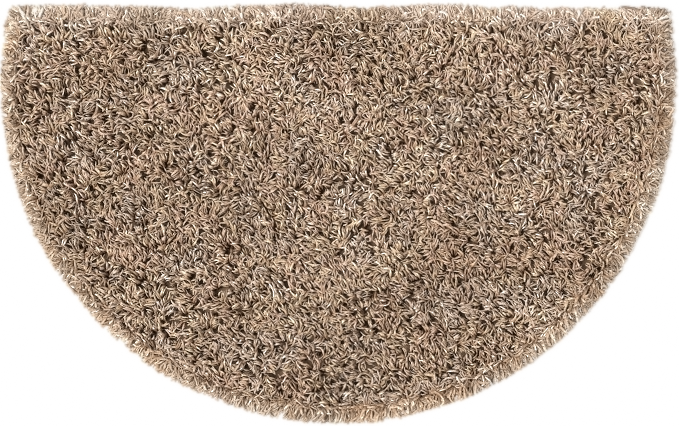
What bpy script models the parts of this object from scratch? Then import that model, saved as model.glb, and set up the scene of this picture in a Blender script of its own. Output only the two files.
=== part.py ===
# A half-round shag rug lying flat on the floor.
#
# The rug is one piece: a backing cloth with a long yarn pile tufted through it. The solid is a
# lumpy slab of pile on the low flat foot of its backing. At the rim the slab frays into locks
# that fall over the backing's edge and lie level on the floor.
#
# Metres, +Z up. The underside lies in z = 0. The straight edge runs along X on the +Y side, and
# the origin is on the floor, halfway along X and halfway between the straight edge and the arc.
import math
import random
from collections import namedtuple

import bmesh
import bpy
from mathutils import Vector, noise
from mathutils.geometry import delaunay_2d_cdt

# Driving dimensions: the outline that the tips of the pile reach. The short sides between the
# half round and the straight edge bow in a little.
RUG_WIDTH = 0.800
RUG_DEPTH = 0.496
SIDE_RADIUS = 0.520

# Pile and backing
PILE_HEIGHT = 0.027
BACKING_THICKNESS = 0.0025
BACKING_INSET = 0.020
BACKING_CORNER = 0.004
BACKING_POINTS = 96

# The slab's wall, where the locks have their roots
WALL_INSET = 0.014
WALL_CORNER = 0.005
WALL_HEIGHT = 0.017
WALL_HEIGHT_SPREAD = 0.0015
SHOULDER = 0.026

# Lumps of the pile: scattered crowns, with a hollow in the middle of every three
CROWN_PITCH = 0.0240
CROWN_SCATTER = 0.0055
CROWN_CLEARANCE = 0.0050
CROWN_SPREAD = 0.0040
HOLLOW_DEPTH = 0.0100
HOLLOW_SPREAD = 0.0040

# Locks at the rim: half widths and heights at the knee, where a lock meets the floor, and at the
# tip. Neighbours sway sideways together.
LOCK_COUNT = 228
LOCK_SHARE = 0.84
REACH_SPREAD = 0.0022
KNEE_SHARE = 0.52
KNEE_HALF_WIDTH = 0.0032
KNEE_HEIGHT = 0.0115
TIP_HALF_WIDTH = 0.0016
TIP_HEIGHT = 0.0030
LOCK_THICKNESS = (0.75, 1.15)
SWAY = 0.0090
SWAY_SCALE = 26.0

SEED = 5
MERGE_DISTANCE = 1e-6

# The straight edge isn't quite straight: the pile stands out or falls short in these places
BackWave = namedtuple("BackWave", "x reach half_width")
BACK_WAVES = (
    BackWave(-0.388, -0.0020, 0.012),
    BackWave(-0.288, 0.0017, 0.016),
    BackWave(-0.168, -0.0042, 0.034),
    BackWave(-0.055, 0.0034, 0.018),
    BackWave(0.050, -0.0022, 0.030),
    BackWave(0.128, 0.0040, 0.022),
    BackWave(0.190, -0.0022, 0.018),
    BackWave(0.244, -0.0028, 0.012),
    BackWave(0.326, -0.0048, 0.016),
    BackWave(0.378, -0.0030, 0.014),
)

# The same along the arc, in degrees from the +X end of the half round
ArcWave = namedtuple("ArcWave", "angle reach half_angle")
ARC_WAVES = (
    ArcWave(6.0, -0.0018, 3.0),
    ArcWave(27.0, -0.0022, 5.0),
    ArcWave(42.0, -0.0016, 3.0),
    ArcWave(75.0, -0.0020, 2.5),
    ArcWave(110.0, -0.0022, 4.0),
    ArcWave(120.0, 0.0015, 3.0),
    ArcWave(129.0, -0.0024, 3.0),
    ArcWave(141.0, -0.0034, 3.5),
    ArcWave(153.0, 0.0020, 3.0),
    ArcWave(173.0, 0.0024, 3.5),
)

# Dull taupe yarn
YARN_COLOUR = (0.33, 0.245, 0.175, 1.0)
YARN_ROUGHNESS = 0.9

HALF_WIDTH = RUG_WIDTH / 2
HALF_DEPTH = RUG_DEPTH / 2
ARC_CENTRE = Vector((0.0, HALF_WIDTH - HALF_DEPTH))


def clear_scene():
    """Start from nothing."""
    for thing in list(bpy.data.objects):
        bpy.data.objects.remove(thing, do_unlink=True)


def half_round_runs(inset, corner):
    """The runs of the outline, set in from the pile's tips, as (length, place) pairs.

    Each place is a function from 0..1 along its run to a point and its outward direction. The
    runs go round counter-clockwise, from the right end of the straight edge.
    """
    back = HALF_DEPTH - inset
    side_radius = SIDE_RADIUS - inset
    side_shift = HALF_WIDTH - SIDE_RADIUS
    corner_rise = back - corner - ARC_CENTRE.y
    side_angle = math.asin(corner_rise / (side_radius - corner))
    corner_x = side_shift + (side_radius - corner) * math.cos(side_angle)

    def arc(centre, radius, start, end):
        def place(share):
            angle = start + (end - start) * share
            outward = Vector((math.cos(angle), math.sin(angle)))
            return centre + outward * radius, outward
        return abs(end - start) * radius, place

    def straight_edge(share):
        return Vector((corner_x * (1 - 2 * share), back)), Vector((0.0, 1.0))

    left_corner = Vector((-corner_x, back - corner))
    right_corner = Vector((corner_x, back - corner))
    left_centre = Vector((-side_shift, ARC_CENTRE.y))
    right_centre = Vector((side_shift, ARC_CENTRE.y))
    return (
        (2 * corner_x, straight_edge),
        arc(left_corner, corner, math.pi / 2, math.pi - side_angle),
        arc(left_centre, side_radius, math.pi - side_angle, math.pi),
        arc(ARC_CENTRE, HALF_WIDTH - inset, math.pi, 2 * math.pi),
        arc(right_centre, side_radius, 0.0, side_angle),
        arc(right_corner, corner, side_angle, math.pi / 2),
    )


def walk(runs, distance):
    """The point and outward direction at a distance along the runs."""
    for length, place in runs:
        if distance <= length:
            return place(distance / length)
        distance -= length
    return runs[-1][1](1.0)


def depth_inside(point, inset):
    """How far a point lies inside the outline that is set in by this much."""
    if point.y < ARC_CENTRE.y:
        from_side = HALF_WIDTH - (point - ARC_CENTRE).length
    else:
        side_centre = Vector((HALF_WIDTH - SIDE_RADIUS, ARC_CENTRE.y))
        from_side = SIDE_RADIUS - (Vector((abs(point.x), point.y)) - side_centre).length
    return min(from_side, HALF_DEPTH - point.y) - inset


def bump(distance, half_width):
    """A smooth bump, 1 in the middle."""
    return math.exp(-((distance / half_width) ** 2))


def rim_wave(point, outward):
    """How far the pile stands out of the plain outline here. The short sides are plain."""
    if outward.y > abs(outward.x):
        return sum(wave.reach * bump(point.x - wave.x, wave.half_width) for wave in BACK_WAVES)
    if point.y > ARC_CENTRE.y:
        return 0.0
    angle = math.degrees(math.atan2(ARC_CENTRE.y - point.y, point.x))
    return sum(wave.reach * bump(angle - wave.angle, wave.half_angle) for wave in ARC_WAVES)


def wall_points():
    """Two points for each lock, on the slab's wall: its two sides."""
    runs = half_round_runs(WALL_INSET, WALL_CORNER)
    pitch = sum(length for length, _ in runs) / LOCK_COUNT
    distances = []
    for lock in range(LOCK_COUNT):
        distances += [lock * pitch, (lock + LOCK_SHARE) * pitch]
    return [walk(runs, distance)[0] for distance in distances]


def crown_points(chance):
    """Where the lumps stand: a triangular net inside the wall, with each point scattered."""
    row_pitch = CROWN_PITCH * math.sqrt(3) / 2
    rows = math.ceil(HALF_DEPTH / row_pitch)
    columns = math.ceil(HALF_WIDTH / CROWN_PITCH) + rows
    crowns = []
    for row in range(-rows, rows + 1):
        for column in range(-columns, columns + 1):
            point = Vector(((column + row / 2) * CROWN_PITCH, row * row_pitch))
            point.x += chance.uniform(-CROWN_SCATTER, CROWN_SCATTER)
            point.y += chance.uniform(-CROWN_SCATTER, CROWN_SCATTER)
            if depth_inside(point, WALL_INSET) > CROWN_CLEARANCE:
                crowns.append(point)
    return crowns


def hollow_points(crowns):
    """The middle of every three neighbouring crowns."""
    net, _, triangles, _, _, _ = delaunay_2d_cdt(crowns, [], [], 0, MERGE_DISTANCE)
    return [sum((net[index] for index in triangle), Vector((0, 0))) / 3 for triangle in triangles]


def pile_height(point):
    """The height of the pile's crowns, which rounds over towards the wall."""
    short = 1 - min(depth_inside(point, WALL_INSET) / SHOULDER, 1.0)
    return WALL_HEIGHT + (PILE_HEIGHT - WALL_HEIGHT) * math.sqrt(1 - short * short)


def add_top(mesh, chance):
    """The pile's lumpy upper side, a net of triangles out to the wall."""
    wall = wall_points()
    crowns = crown_points(chance)
    hollows = hollow_points(crowns)
    heights = []
    for _ in range(LOCK_COUNT):
        heights += [WALL_HEIGHT + chance.uniform(-WALL_HEIGHT_SPREAD, WALL_HEIGHT_SPREAD)] * 2
    for crown in crowns:
        heights.append(pile_height(crown) - chance.uniform(0.0, CROWN_SPREAD))
    for hollow in hollows:
        heights.append(pile_height(hollow) - HOLLOW_DEPTH + chance.uniform(0.0, HOLLOW_SPREAD))
    points = wall + crowns + hollows
    rim = [(index, (index + 1) % len(wall)) for index in range(len(wall))]
    net, _, triangles, _, _, _ = delaunay_2d_cdt(points, rim, [], 1, MERGE_DISTANCE)
    verts = [mesh.verts.new((spot.x, spot.y, height)) for spot, height in zip(net, heights)]
    for triangle in triangles:
        mesh.faces.new([verts[index] for index in triangle])


def add_wall(mesh):
    """The slab's wall, drawn down from the upper side's rim. Returns its faces and lower edges."""
    rim = [edge for edge in mesh.edges if edge.is_boundary]
    drawn = bmesh.ops.extrude_edge_only(mesh, edges=rim)["geom"]
    for vert in drawn:
        if isinstance(vert, bmesh.types.BMVert):
            vert.co.z = BACKING_THICKNESS
    faces = [face for face in drawn if isinstance(face, bmesh.types.BMFace)]
    edges = [edge for edge in drawn if isinstance(edge, bmesh.types.BMEdge) and edge.is_boundary]
    return faces, edges


def add_underside(mesh, wall_edges):
    """The pile's underside round the backing, and the backing's foot down to the floor."""
    runs = half_round_runs(BACKING_INSET, BACKING_CORNER)
    total = sum(length for length, _ in runs)
    spots = [walk(runs, total * index / BACKING_POINTS)[0] for index in range(BACKING_POINTS)]
    verts = [mesh.verts.new((spot.x, spot.y, BACKING_THICKNESS)) for spot in spots]
    loop = [mesh.edges.new((verts[index - 1], verts[index])) for index in range(BACKING_POINTS)]
    bmesh.ops.triangle_fill(mesh, edges=wall_edges + loop, use_beauty=True)
    drawn = bmesh.ops.extrude_edge_only(mesh, edges=loop)["geom"]
    for vert in drawn:
        if isinstance(vert, bmesh.types.BMVert):
            vert.co.z = 0.0
    foot = [edge for edge in drawn if isinstance(edge, bmesh.types.BMEdge) and edge.is_boundary]
    bmesh.ops.edgeloop_fill(mesh, edges=foot)


def draw_locks(mesh, wall_faces, chance):
    """Draw a lock out of each wide face of the wall: down to the knee, then level to the tip."""
    pitch = sum(length for length, _ in half_round_runs(WALL_INSET, WALL_CORNER)) / LOCK_COUNT
    ends = [face for face in wall_faces if level_width(face) > pitch / 2]
    ends.sort(key=place_round_rim)
    locks = [lock_of(face, chance) for face in ends]
    for share, half_width, height in (
        (KNEE_SHARE, KNEE_HALF_WIDTH, KNEE_HEIGHT),
        (1.0, TIP_HALF_WIDTH, TIP_HEIGHT),
    ):
        ends = [bmesh.ops.extrude_discrete_faces(mesh, faces=[end])["faces"][0] for end in ends]
        for end, lock in zip(ends, locks):
            set_end(end, lock, share, half_width, height)


def level_width(face):
    """The width of a wall face, seen from above."""
    return max((edge.verts[0].co - edge.verts[1].co).to_2d().length for edge in face.edges)


def place_round_rim(face):
    """The direction of a wall face from the arc's centre, which orders the locks."""
    away = face.calc_center_median().to_2d() - ARC_CENTRE
    return math.atan2(away.y, away.x)


def lock_of(face, chance):
    """A lock's root, outward direction, reach, sideways sway and thickness."""
    middle = face.calc_center_median()
    outward = face.normal.to_2d().normalized()
    reach = WALL_INSET + rim_wave(middle.to_2d(), outward)
    reach += chance.uniform(-REACH_SPREAD, REACH_SPREAD)
    sway = noise.noise(middle * SWAY_SCALE) * SWAY
    return middle.to_2d(), outward, reach, sway, chance.uniform(*LOCK_THICKNESS)


def set_end(face, lock, share, half_width, height):
    """Move a lock's end face to its place, with its lower side level on the floor."""
    middle, outward, reach, sway, thickness = lock
    along = Vector((-outward.y, outward.x))
    centre = middle + outward * reach * share + along * sway * share
    drawn_from = face.calc_center_median()
    for vert in face.verts:
        side = (vert.co - drawn_from).to_2d().dot(along)
        spot = centre + along * math.copysign(half_width * thickness, side)
        vert.co = (spot.x, spot.y, height * thickness if vert.co.z > drawn_from.z else 0.0)


def yarn_material():
    """Matt taupe yarn."""
    material = bpy.data.materials.new("pile yarn")
    material.use_nodes = True
    shader = material.node_tree.nodes["Principled BSDF"]
    shader.inputs["Base Color"].default_value = YARN_COLOUR
    shader.inputs["Roughness"].default_value = YARN_ROUGHNESS
    shader.inputs["Metallic"].default_value = 0.0
    return material


def make_rug(collection):
    """The whole rug as one solid."""
    chance = random.Random(SEED)
    mesh = bmesh.new()
    add_top(mesh, chance)
    wall_faces, wall_edges = add_wall(mesh)
    add_underside(mesh, wall_edges)
    bmesh.ops.recalc_face_normals(mesh, faces=mesh.faces)
    draw_locks(mesh, wall_faces, chance)
    data = bpy.data.meshes.new("shag_rug")
    mesh.to_mesh(data)
    mesh.free()
    data.materials.append(yarn_material())
    rug = bpy.data.objects.new("shag_rug", data)
    collection.objects.link(rug)
    return rug


def main():
    clear_scene()
    collection = bpy.data.collections.new("half round shag rug")
    bpy.context.scene.collection.children.link(collection)
    make_rug(collection)


main()
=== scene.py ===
# %% [markdown]
# A half-round shag rug, seen from straight above.
#
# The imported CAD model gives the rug's size and place: one lumpy slab with locks at its rim. This
# lesson dresses it as a maker would build it: a backing cloth, and thousands of yarns tufted
# through it. The camera and the light come before them, because they decide how a pile reads.
# The frame is loaded first of all, because every piece is placed in it.

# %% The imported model
import math

import bpy
import numpy as np
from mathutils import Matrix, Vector
from mathutils.geometry import delaunay_2d_cdt


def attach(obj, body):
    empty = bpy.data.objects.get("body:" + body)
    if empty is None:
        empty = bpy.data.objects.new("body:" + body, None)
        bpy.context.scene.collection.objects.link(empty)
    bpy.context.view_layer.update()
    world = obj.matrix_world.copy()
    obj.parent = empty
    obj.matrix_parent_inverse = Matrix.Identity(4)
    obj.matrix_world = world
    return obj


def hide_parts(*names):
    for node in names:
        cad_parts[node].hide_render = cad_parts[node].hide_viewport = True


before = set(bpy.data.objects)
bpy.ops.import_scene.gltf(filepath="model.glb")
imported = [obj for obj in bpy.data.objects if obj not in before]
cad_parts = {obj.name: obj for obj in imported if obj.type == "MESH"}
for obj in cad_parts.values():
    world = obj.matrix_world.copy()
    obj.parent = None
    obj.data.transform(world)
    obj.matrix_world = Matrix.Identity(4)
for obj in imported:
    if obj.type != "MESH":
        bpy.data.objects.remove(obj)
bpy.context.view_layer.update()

RUG = "shag_rug"


# %% [markdown]
# The photograph looks straight down, so the camera does too. A long lens far away keeps the
# sides of the pile out of sight, as a studio camera on a boom would. The rug fills the picture,
# so the picture's width at the floor is what sets the camera's height.

# %% Camera
PICTURE_WIDTH = 0.8062  # metres of rug and floor that the picture spans
PICTURE_MIDDLE = (0.0017, 0.0013)
TIP_LEVEL = 0.004  # the height at which it spans them
LENS_MM = 135.0
SENSOR_MM = 36.0

scene = bpy.context.scene
lens = bpy.data.cameras.new("overhead camera")
lens.lens = LENS_MM
lens.sensor_width = SENSOR_MM
lens.dof.use_dof = False
camera = bpy.data.objects.new("overhead camera", lens)
camera_height = TIP_LEVEL + PICTURE_WIDTH * LENS_MM / SENSOR_MM
camera.location = (*PICTURE_MIDDLE, camera_height)
scene.collection.objects.link(camera)
scene.camera = camera
print("camera height:", round(camera_height, 3), "m")

# %% [markdown]
# Studio light for a product on white: an even glow from all round, so that the gaps in the pile
# darken softly, and one wide lamp that picks out the yarns that lie on top. In the photograph
# the yarns are lit on their left sides, so the lamp stands to the left. A sun lamp has no
# falloff, so the floor is as white at the horizon as under the rug.

# %% Light and tone
GLOW = 0.65
GLOW_COLOUR = (1.0, 0.980, 0.950)
KEY_STRENGTH = 4.0
KEY_COLOUR = (1.0, 0.985, 0.965)
KEY_WIDTH = math.radians(26)
KEY_TILT = math.radians(28)
PIXEL_SPREAD = 1.15

world = bpy.data.worlds.new("studio glow")
world.use_nodes = True
background = world.node_tree.nodes["Background"]
background.inputs["Color"].default_value = (*GLOW_COLOUR, 1.0)
background.inputs["Strength"].default_value = GLOW
scene.world = world

key = bpy.data.lights.new("wide overhead lamp", "SUN")
key.energy = KEY_STRENGTH
key.color = KEY_COLOUR
key.angle = KEY_WIDTH
key_lamp = bpy.data.objects.new("wide overhead lamp", key)
key_lamp.rotation_euler = (0.0, -KEY_TILT, 0.0)
scene.collection.objects.link(key_lamp)

scene.view_settings.view_transform = "Standard"
scene.view_settings.look = "None"
scene.cycles.filter_width = PIXEL_SPREAD
print("glow", GLOW, "key", KEY_STRENGTH)

# %% [markdown]
# The picture, the finishes and the pile are all made in node trees, and a node tree is built from
# sums. Field wraps a socket so that it adds and multiplies like a number, with one node for each
# sign. NodeTree adds nodes and feeds them.

# %% Sums in a node tree
class Field:
    """A value that flows through a node tree."""

    def __init__(self, tree, socket):
        self.tree = tree
        self.socket = socket

    def combine(self, operation, *others):
        return self.tree.calculate(operation, self, *others)

    def between(self, low, high):
        return self.combine("MAXIMUM", low).combine("MINIMUM", high)

    def __add__(self, other):
        return self.combine("ADD", other)

    def __sub__(self, other):
        return self.combine("SUBTRACT", other)

    def __rsub__(self, other):
        return self.tree.calculate("SUBTRACT", other, self)

    def __mul__(self, other):
        return self.combine("MULTIPLY", other)

    def __truediv__(self, other):
        return self.combine("DIVIDE", other)

    def __pow__(self, other):
        return self.combine("POWER", other)

    __radd__ = __add__
    __rmul__ = __mul__


class NodeTree:
    """A node tree, and short ways to add to it."""

    def __init__(self, tree):
        self.tree = tree

    def feed(self, node, inputs):
        """Link fields into a node's sockets, and set its other inputs to plain values."""
        for name, value in inputs.items():
            if isinstance(value, Field):
                self.tree.links.new(value.socket, node.inputs[name])
            else:
                node.inputs[name].default_value = value

    def add(self, kind, settings=None, inputs=None):
        """Add a node with its settings and inputs."""
        node = self.tree.nodes.new(kind)
        for name, value in (settings or {}).items():
            setattr(node, name, value)
        self.feed(node, inputs or {})
        return node

    def put(self, kind, settings=None, inputs=None, output=0):
        """Add a node, and return one of its outputs as a field."""
        return Field(self, self.add(kind, settings, inputs).outputs[output])

    def calculate(self, operation, *terms):
        """One Math node."""
        return self.put("ShaderNodeMath", {"operation": operation}, dict(enumerate(terms)))

    def vector(self, operation, *terms):
        """One Vector Math node. SCALE takes its number second."""
        slots = (0, "Scale" if operation == "SCALE" else 1)
        output = "Value" if operation == "DOT_PRODUCT" else "Vector"
        settings = {"operation": operation}
        return self.put("ShaderNodeVectorMath", settings, dict(zip(slots, terms)), output)

    def axes(self, way, names="XYZ"):
        """The parts of a vector."""
        parts = self.add("ShaderNodeSeparateXYZ", inputs={"Vector": way})
        return [Field(self, parts.outputs[name]) for name in names]


print("signs that make a node: + - * / **")

# %% [markdown]
# A shop photograph isn't finished when the light has passed through the lens, so neither is this
# picture. Film can't be whiter than white, and a little of the white floor spills over the rim.
# The light behind the rim creeps round it too, which leaves it a touch softer than the rest. The
# rest is sharpened, which draws a dark line along each yarn. A tone curve holds back the lights
# and deepens the darks. Last, a picture file keeps light and dark finely but colour coarsely, so
# the picture is split into lightness and two colour parts for all of this.

# %% Lens and picture file
SPILL = 0.10
SPILL_REACH = 6  # reaches and blurs are in pixels
CRISPNESS = 0.11
COLOUR_BLUR = 4
LIT_FLOOR = 1.0  # only the floor is lighter than this
RIM_BLUR = 2
RIM_REACH = 8
RIM_SHARE = 1.6
TONE_CURVE = (  # tone in, tone out
    (0.00, 0.000),
    (0.11, 0.078),
    (0.18, 0.185),
    (0.34, 0.372),
    (0.49, 0.528),
    (0.65, 0.668),
    (0.84, 0.826),
    (0.95, 0.912),
    (1.00, 1.000),
)
LIGHT_TONES = "Linear Rec.709"
SHOWN_TONES = "sRGB"
PARTS = {"mode": "YCC", "ycc_mode": "JFIF"}
ALL_CHANNELS = 3

scene.use_nodes = True
picture = NodeTree(scene.node_tree)
picture.tree.nodes.clear()


def step(kind, settings=None, inputs=None, output=0):
    """Add a step to the picture, and return what flows out of it."""
    return picture.put("CompositorNode" + kind, settings, inputs, output)


def blurred(image, reach):
    """The picture, or one part of it, softened."""
    return step("Blur", {"filter_type": "GAUSS", "size_x": reach, "size_y": reach}, {"Image": image})


def mixed(share, first, second, clamped=False):
    """From the first picture at 0 to the second at 1."""
    return step("MixRGB", {"use_clamp": clamped}, {0: share, 1: first, 2: second})


def recoded(image, old, new):
    """The picture with its tones written down in another way."""
    return step("ConvertColorSpace", {"from_color_space": old, "to_color_space": new}, {0: image})


def toned(image, curve):
    """The picture with its tones moved along a curve."""
    node = picture.add("CompositorNodeCurveRGB", inputs={"Image": image})
    line = node.mapping.curves[ALL_CHANNELS]
    line.points[0].location = curve[0]
    line.points[-1].location = curve[-1]
    for before, after in curve[1:-1]:
        line.points.new(before, after)
    node.mapping.update()
    return Field(picture, node.outputs[0])


rendered = step("RLayers", output="Image")
grey = step("RGBToBW", inputs={0: rendered})
behind = step("Math", {"operation": "GREATER_THAN"}, {0: grey, 1: LIT_FLOOR})
near_rim = step("Math", {"operation": "MULTIPLY", "use_clamp": True}, {
    0: blurred(behind, RIM_REACH), 1: RIM_SHARE})
film = mixed(0.0, rendered, rendered, clamped=True)
spilt = mixed(SPILL, film, blurred(film, SPILL_REACH))
shown = recoded(spilt, LIGHT_TONES, SHOWN_TONES)
split = picture.add("CompositorNodeSeparateColor", PARTS, {0: shown})
lightness, *colours = (Field(picture, split.outputs[slot]) for slot in range(3))
crisp = step("Filter", {"filter_type": "SHARPEN_DIAMOND"}, {"Fac": CRISPNESS, "Image": lightness})
eased = mixed(near_rim, crisp, blurred(lightness, RIM_BLUR))
first, second = (blurred(part, COLOUR_BLUR) for part in colours)
joined = step("CombineColor", PARTS, {0: toned(eased, TONE_CURVE), 1: first, 2: second})
picture.add("CompositorNodeComposite", inputs={"Image": recoded(joined, SHOWN_TONES, LIGHT_TONES)})
print("steps after the render:", len(picture.tree.nodes))

# %% [markdown]
# The tips of the pile reach a half round with its short sides bowed in a little. Three circles
# and a straight edge say all of it, so how far a point lies inside it can be worked out. The pile
# isn't trimmed quite evenly, so short tables say where it stands out or falls short, as the
# photograph shows.

# %% Outline
RUG_WIDTH = 0.800
RUG_DEPTH = 0.496
SIDE_RADIUS = 0.520
SIDE_X = RUG_WIDTH / 2 - SIDE_RADIUS  # the middle of the right side's circle
ARC_CENTRE = (0.0, RUG_WIDTH / 2 - RUG_DEPTH / 2)
CORNER_REACH = 0.020
CORNER_PULL = 4.0  # the most that one rim pulls
LEAST_GAP = 1e-4  # smaller gaps count as this one
LEAST_LENGTH = 1e-9  # so that no way is divided by nothing
BACK_TRIM = 0.0008

BACK_WAVES = (  # x, reach, half width
    (-0.386, -0.0064, 0.016),
    (-0.318, 0.0012, 0.020),
    (-0.182, -0.0048, 0.034),
    (-0.056, 0.0042, 0.024),
    (0.030, -0.0024, 0.034),
    (0.126, 0.0066, 0.022),
    (0.183, -0.0022, 0.018),
    (0.244, -0.0028, 0.012),
    (0.290, -0.0024, 0.060),
    (0.330, -0.0056, 0.018),
    (0.394, -0.0115, 0.020),
)
LEFT_WAVES = ((0.232, -0.0032, 0.030),)  # y, reach, half height
RIGHT_WAVES = ((0.236, -0.0044, 0.030),)
ARC_WAVES = (  # degrees from the +X end, reach, half angle
    (6.0, -0.0018, 3.0),
    (27.0, -0.0022, 5.0),
    (42.0, -0.0016, 3.0),
    (75.0, -0.0020, 2.5),
    (110.0, -0.0022, 4.0),
    (120.0, 0.0015, 3.0),
    (129.0, -0.0024, 3.0),
    (141.0, -0.0034, 3.5),
    (153.0, 0.0020, 3.0),
    (173.0, 0.0024, 3.5),
)


def wave_sum(place, waves):
    """How far the pile stands out of the plain outline at each place along it."""
    return sum(reach * np.exp(-(((place - at) / half) ** 2)) for at, reach, half in waves)


def rim_distances(x, y):
    """How far points lie inside the straight edge and inside the round side, waves included."""
    from_back = RUG_DEPTH / 2 - BACK_TRIM - y + wave_sum(x, BACK_WAVES)
    across = np.hypot(x, y - ARC_CENTRE[1])
    angle = np.degrees(np.arctan2(ARC_CENTRE[1] - y, x))
    from_arc = RUG_WIDTH / 2 - across + wave_sum(angle, ARC_WAVES)
    from_side = SIDE_RADIUS - np.hypot(np.abs(x) - SIDE_X, y - ARC_CENTRE[1])
    from_side = from_side + np.where(x < 0, wave_sum(y, LEFT_WAVES), wave_sum(y, RIGHT_WAVES))
    return from_back, np.where(y < ARC_CENTRE[1], from_arc, from_side)


def unit(ways):
    """Each way with a length of one."""
    return ways / np.maximum(np.linalg.norm(ways, axis=-1, keepdims=True), LEAST_LENGTH)


def round_way(x, y):
    """The way out over the round side."""
    middle = np.where(y < ARC_CENTRE[1], 0.0, np.sign(x) * SIDE_X)
    return unit(np.stack([x - middle, y - ARC_CENTRE[1]], axis=-1))


def outward_of(x, y):
    """The way out over the nearest rim, turning smoothly through the corners."""
    from_back, from_round = (
        np.clip(CORNER_REACH / np.maximum(gap, LEAST_GAP), 0, CORNER_PULL)[..., None] ** 2
        for gap in rim_distances(x, y))
    return unit(from_back * np.array([0.0, 1.0]) + from_round * round_way(x, y))


print("outline:", RUG_WIDTH, "x", RUG_DEPTH, "m")

# %% [markdown]
# The backing is a half moon that ends short of the tips, because the pile falls over its edge. It
# is a closed loop of points, filled with a net of small triangles. The net serves twice:
# thickened, it is the cloth that shows from below, and flat, it is the bed for the yarns.

# %% Half moon net
BACKING_INSET = 0.020
BACKING_CORNER = 0.004
BACKING_THICKNESS = 0.0025
RIM_STEP = 0.006
NET_STEP = 0.008
NET_MARGIN = 0.004
INSIDE_ONLY = 1
SAME_POINT = 1e-6


def half_moon(inset, corner, step_length):
    """Points round the outline, set in by this much, with rounded back corners."""
    back = RUG_DEPTH / 2 - inset
    side_radius = SIDE_RADIUS - inset
    side_angle = math.asin((back - corner - ARC_CENTRE[1]) / (side_radius - corner))
    corner_x = SIDE_X + (side_radius - corner) * math.cos(side_angle)
    runs = (
        ((corner_x, back - corner), corner, side_angle, math.pi / 2),
        ((-corner_x, back - corner), corner, math.pi / 2, math.pi - side_angle),
        ((-SIDE_X, ARC_CENTRE[1]), side_radius, math.pi - side_angle, math.pi),
        (ARC_CENTRE, RUG_WIDTH / 2 - inset, math.pi, 2 * math.pi),
        ((SIDE_X, ARC_CENTRE[1]), side_radius, 0.0, side_angle),
    )
    points = []
    for centre, radius, start, end in runs:
        count = max(2, round((end - start) * radius / step_length))
        for angle in np.linspace(start, end, count, endpoint=False):
            x, y = radius * math.cos(angle), radius * math.sin(angle)
            points.append((centre[0] + x, centre[1] + y))
        if radius == corner and start == side_angle:
            straight = max(2, round(2 * corner_x / step_length))
            points += [(x, back) for x in np.linspace(corner_x, -corner_x, straight, endpoint=False)]
    return points


def moon_net(inset, corner):
    """A net of triangles inside the half moon: its points, its triangles and its rim's length."""
    rim = half_moon(inset, corner, RIM_STEP)
    xs = np.arange(-RUG_WIDTH / 2, RUG_WIDTH / 2, NET_STEP)
    ys = np.arange(-RUG_DEPTH / 2, RUG_DEPTH / 2, NET_STEP)
    x, y = (grid.ravel() for grid in np.meshgrid(xs, ys))
    inside = np.minimum(*rim_distances(x, y)) > inset + NET_STEP / 2 + NET_MARGIN
    points = [Vector(point) for point in rim + list(zip(x[inside], y[inside]))]
    edges = [(index, (index + 1) % len(rim)) for index in range(len(rim))]
    net, _, triangles, *_ = delaunay_2d_cdt(points, edges, [], INSIDE_ONLY, SAME_POINT)
    return np.array(net), triangles, len(rim)


net_points, net_triangles, rim_count = moon_net(BACKING_INSET, BACKING_CORNER)
print("net:", len(net_points), "points,", len(net_triangles), "triangles")

# %% [markdown]
# The backing cloth is a sheet that lies flat on the floor. It is the net twice, one above the
# other, with a wall round its rim, so that it is a closed cloth with its real thickness.


# %% Backing cloth
def backing_cloth():
    """The cloth as a closed sheet. Returns its object and its flat area."""
    count = len(net_points)
    low, high = (np.column_stack([net_points, np.full(count, z)]) for z in (0.0, BACKING_THICKNESS))
    faces = [tuple(reversed(t)) for t in net_triangles]
    faces += [tuple(count + index for index in t) for t in net_triangles]
    for index in range(rim_count):
        after = (index + 1) % rim_count
        faces.append((index, after, count + after, count + index))
    mesh = bpy.data.meshes.new("backing_cloth")
    mesh.from_pydata(np.vstack([low, high]).tolist(), [], faces)
    mesh.validate()
    cloth = bpy.data.objects.new("backing_cloth", mesh)
    scene.collection.objects.link(cloth)
    first, second, third = net_points[np.array(net_triangles)].transpose(1, 2, 0)
    (a, b), (c, d) = second - first, third - first
    return cloth, float(np.abs(a * d - b * c).sum() / 2)


backing, backing_area = backing_cloth()
print("backing:", round(backing_area, 4), "m2 of cloth")

# %% [markdown]
# The bed is where the needle goes. A yarn in the middle of the rug may lean anywhere, while one
# near the rim has nothing to lean on and falls outwards. So each point of the bed notes the way
# out over the rim, and how far off the straight edge and the round side are.


# %% Bed for the yarns
def note_on(mesh, name, values):
    """Write a number, or a way in the floor's plane, down on each point of a mesh."""
    values = np.asarray(values, dtype=np.float32)
    if values.ndim == 1:
        mesh.attributes.new(name, "FLOAT", "POINT").data.foreach_set("value", values)
    else:
        ways = np.column_stack([values, np.zeros_like(values[:, 0])])
        mesh.attributes.new(name, "FLOAT_VECTOR", "POINT").data.foreach_set("vector", ways.ravel())


bed_mesh = bpy.data.meshes.new("pile bed")
bed_points = np.column_stack([net_points, np.full(len(net_points), BACKING_THICKNESS)])
bed_mesh.from_pydata(bed_points.tolist(), [], [tuple(t) for t in net_triangles])
net_x, net_y = net_points.T
back_gaps, round_gaps = rim_distances(net_x, net_y)
note_on(bed_mesh, "outward", outward_of(net_x, net_y))
note_on(bed_mesh, "round_way", round_way(net_x, net_y))
note_on(bed_mesh, "back_gap", back_gaps)
note_on(bed_mesh, "round_gap", round_gaps)
print("furthest from the rim:", round(float(np.minimum(back_gaps, round_gaps).max()), 3), "m")

# %% [markdown]
# Yarn and canvas are both spun and dyed fibre, and their unevenness is one shared node group. It
# mixes soft patches with a fine fuzz, and puts out a value near one that multiplies a colour, and
# a height for a bump. Yarn is streakier than canvas, so the patches' size and strength are inputs.

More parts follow.
